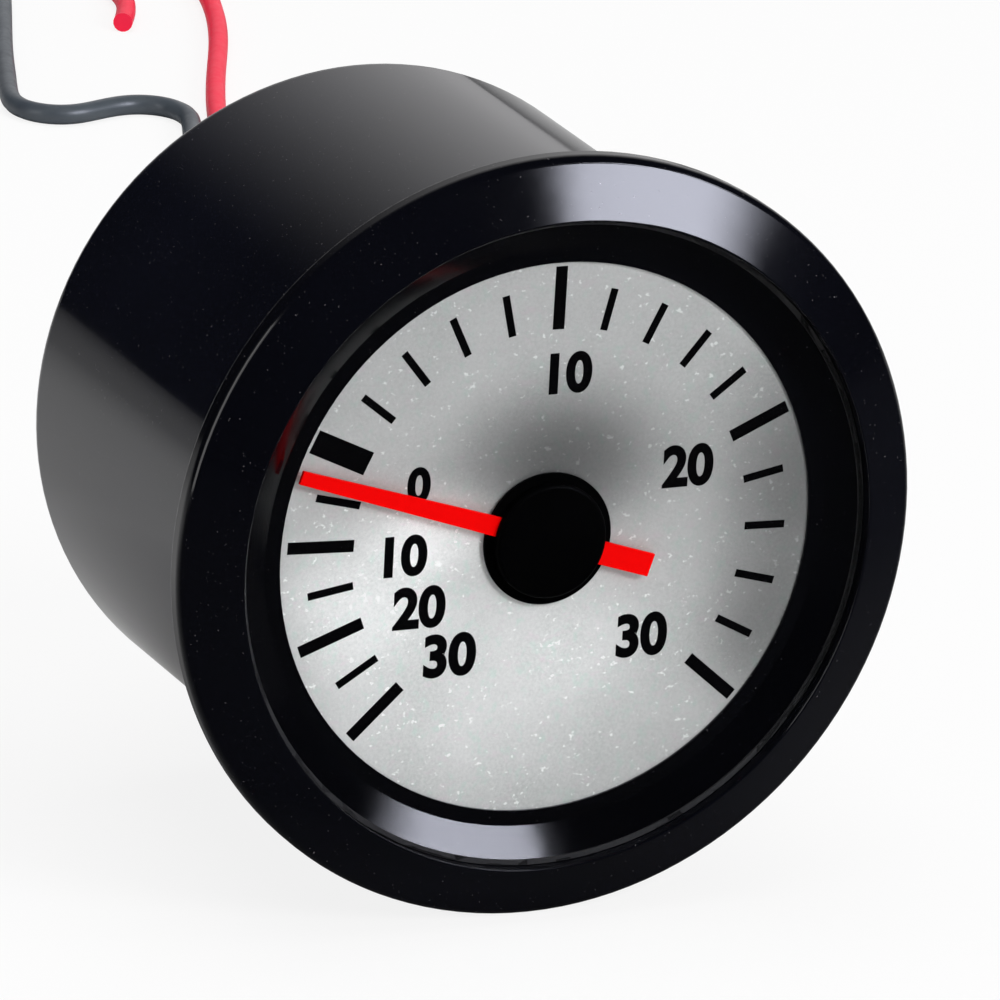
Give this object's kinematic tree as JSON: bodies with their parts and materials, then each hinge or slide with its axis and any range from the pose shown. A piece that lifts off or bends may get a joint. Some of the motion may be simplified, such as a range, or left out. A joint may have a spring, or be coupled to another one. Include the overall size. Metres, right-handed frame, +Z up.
{
  "type": "mechanical boost gauge",
  "caption": "Round panel gauge for boost and vacuum, with its Bourdon tube movement, dial lamp and leads, threaded pressure stem and bracket studs.",
  "frame": {"origin": "on the gauge's axis, in the plane of the bezel's rear shoulder, which meets the panel", "axes": "+Y along the axis towards the back, the dial faces -Y, +Z up, +X to the right as the dial is read"},
  "size_m": [0.1012, 0.2503, 0.06],
  "materials": {
    "case_black": "gloss black paint on drawn steel",
    "bezel_black": "gloss black paint",
    "lens_glass": "clear flat glass",
    "rubber_black": "matt black rubber",
    "surround_black": "black plastic, half gloss",
    "dial_silver": "satin silver with a fine speckle, printed in black",
    "white_plastic": "white translucent plastic",
    "pointer_red": "bright red paint",
    "hub_black": "black, half gloss",
    "steel_arbor": "ground steel",
    "brass": "stamped and turned brass",
    "spring_bronze": "phosphor bronze strip",
    "zinc_steel": "zinc plated steel",
    "tube_bronze": "drawn phosphor bronze tube",
    "socket_brass": "machined brass",
    "socket_plastic": "moulded black plastic",
    "bulb_glass": "clear bulb glass",
    "filament_wire": "tungsten wire",
    "lead_red": "glossy red insulation",
    "lead_black": "dark insulation"
  },
  "bodies": {
    "housing": {"case_shell": "case_black", "bezel_ring": "bezel_black", "lens": "lens_glass", "lens_gasket": "rubber_black", "dial_surround": "surround_black", "dial_plate": "dial_silver", "light_ring": "white_plastic", "hairspring": "spring_bronze", "hairspring_post": "brass", "front_plate": "brass", "back_plate": "brass", "pillars": "brass", "plate_screws": "zinc_steel", "movement_screws": "zinc_steel", "stop_pins": "steel_arbor", "bourdon_tube": "tube_bronze", "pressure_socket": "socket_brass", "socket_seal": "rubber_black", "stem_washer": "zinc_steel", "stem_nut": "socket_brass", "rear_studs": "zinc_steel", "stud_washers": "zinc_steel", "stud_nuts": "zinc_steel", "lamp_socket": "socket_plastic", "lamp_seal": "rubber_black", "lamp_contacts": "brass", "lamp_bulb": "bulb_glass", "lamp_filament": "filament_wire", "lead_boot": "rubber_black", "red_lead": "lead_red", "black_lead": "lead_black"},
    "pointer_body": {"pointer": "pointer_red", "pointer_hub": "hub_black", "hub_cap": "hub_black", "pinion_arbor": "steel_arbor", "hairspring_collet": "brass"},
    "sector_body": {"sector_gear": "brass", "sector_arbor": "steel_arbor", "sector_tail": "brass", "tail_pin": "steel_arbor"},
    "tube_tip": {"tube_end": "brass", "link_pin": "steel_arbor"},
    "link_bar": {"link": "brass"}
  },
  "joints": [
    {"name": "pointer_turn", "type": "hinge", "parent": "housing", "child": "pointer_body", "pos_m": [0, 0, 0], "axis": [0, 1, 0], "range_deg": [-62, 204], "stiffness_Nm_per_rad": 0.0005, "deforming": ["hairspring"]},
    {"name": "sector_swing", "type": "hinge", "parent": "housing", "child": "sector_body", "pos_m": [0.0115, 0.006, -0.00867], "axis": [0, 1, 0], "range_deg": [-29.3, 9]},
    {"name": "tube_flex", "type": "hinge", "parent": "housing", "child": "tube_tip", "pos_m": [-0.00474, 0.018, 0.00607], "axis": [0, 1, 0], "range_deg": [-5.7, 1.8], "deforming": ["bourdon_tube"]},
    {"name": "link_swing", "type": "hinge", "parent": "tube_tip", "child": "link_bar", "pos_m": [0.01544, 0.013, 0.00013], "axis": [0, 1, 0], "range_deg": [-2.8, 9]}
  ],
  "couplings": [
    {"joint": "sector_swing", "follows": "pointer_turn", "ratio": -0.14286},
    {"joint": "tube_flex", "follows": "pointer_turn", "ratio": -0.02759},
    {"joint": "link_swing", "follows": "pointer_turn", "ratio": 0.04284}
  ]
}
